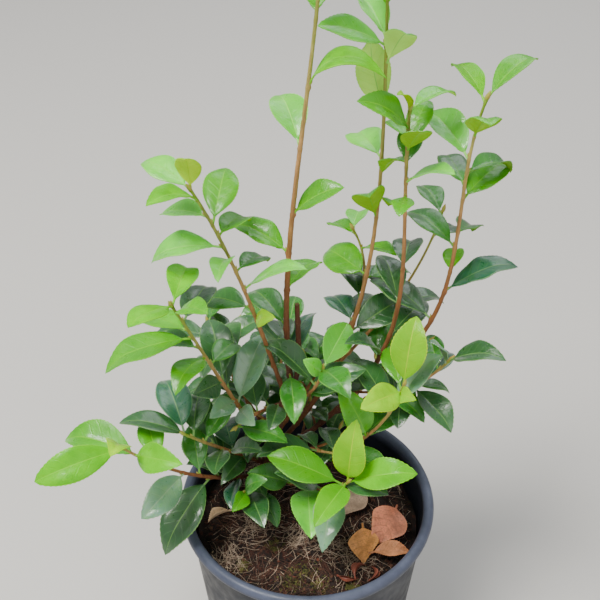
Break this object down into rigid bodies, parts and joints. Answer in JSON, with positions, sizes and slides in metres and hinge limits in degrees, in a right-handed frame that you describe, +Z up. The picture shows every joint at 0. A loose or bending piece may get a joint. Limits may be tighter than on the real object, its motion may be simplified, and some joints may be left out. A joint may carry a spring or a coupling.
{
  "type": "camellia shrub in a nursery pot",
  "caption": "Young camellia shrub: slim upright leafy shoots from a short trunk, in a tapered black plastic nursery pot of potting mix.",
  "frame": {"origin": "middle of the pot's flat underside, on the ground", "axes": "+Z up; -Y towards the front, the side the picture was taken from; +X to the right in the picture"},
  "size_m": [0.3284, 0.2528, 0.6644],
  "materials": {
    "pot": "matt black injection-moulded plastic with a faint blue-grey bloom",
    "soil": "damp composted-bark potting mix with tan fibres and moss",
    "bark": "thin brown bark, rough at the trunk, smooth and orange-brown on the shoots",
    "leaf_young": "soft young leaf, yellow-green, satin",
    "leaf_bright": "bright green leaf, glossy on top",
    "leaf_mid": "mid green leaf, glossy on top, paler beneath",
    "leaf_dark": "leathery dark green mature leaf with a pale midrib",
    "fallen_leaf": "dry brown fallen leaf"
  },
  "bodies": {
    "root": {"bough_backCentre": "bark", "bough_backLeft": "bark", "bough_backLow": "bark", "bough_backLowRight": "bark", "bough_backRight": "bark", "bough_farLeft": "bark", "bough_innerRight": "bark", "bough_left": "bark", "bough_lowFront": "bark", "bough_lowLeft": "bark", "bough_lowRight": "bark", "bough_midRight": "bark", "bough_outerRight": "bark", "bough_sideLeft": "bark", "bough_tallRight": "bark", "fallen_leaf_1": "fallen_leaf", "fallen_leaf_2": "fallen_leaf", "fallen_leaf_3": "fallen_leaf", "fallen_leaf_4": "fallen_leaf", "fallen_leaf_5": "fallen_leaf", "foliage_backCentre": "leaf_mid", "foliage_backLeft": "leaf_dark", "foliage_backLow": "leaf_dark", "foliage_backLowRight": "leaf_dark", "foliage_backRight": "leaf_dark", "foliage_centre": "leaf_bright", "foliage_farLeft": "leaf_mid", "foliage_footFront": "leaf_dark", "foliage_heartLeft": "leaf_dark", "foliage_heartLow": "leaf_dark", "foliage_heartRight": "leaf_mid", "foliage_innerRight": "leaf_bright", "foliage_left": "leaf_mid", "foliage_lowFront": "leaf_young", "foliage_lowLeft": "leaf_bright", "foliage_lowRight": "leaf_mid", "foliage_midRight": "leaf_bright", "foliage_outerRight": "leaf_mid", "foliage_sideLeft": "leaf_dark", "foliage_tallRight": "leaf_bright", "pot": "pot", "pruned_stub": "bark", "soil": "soil", "trunk": "bark"}
  },
  "joints": []
}
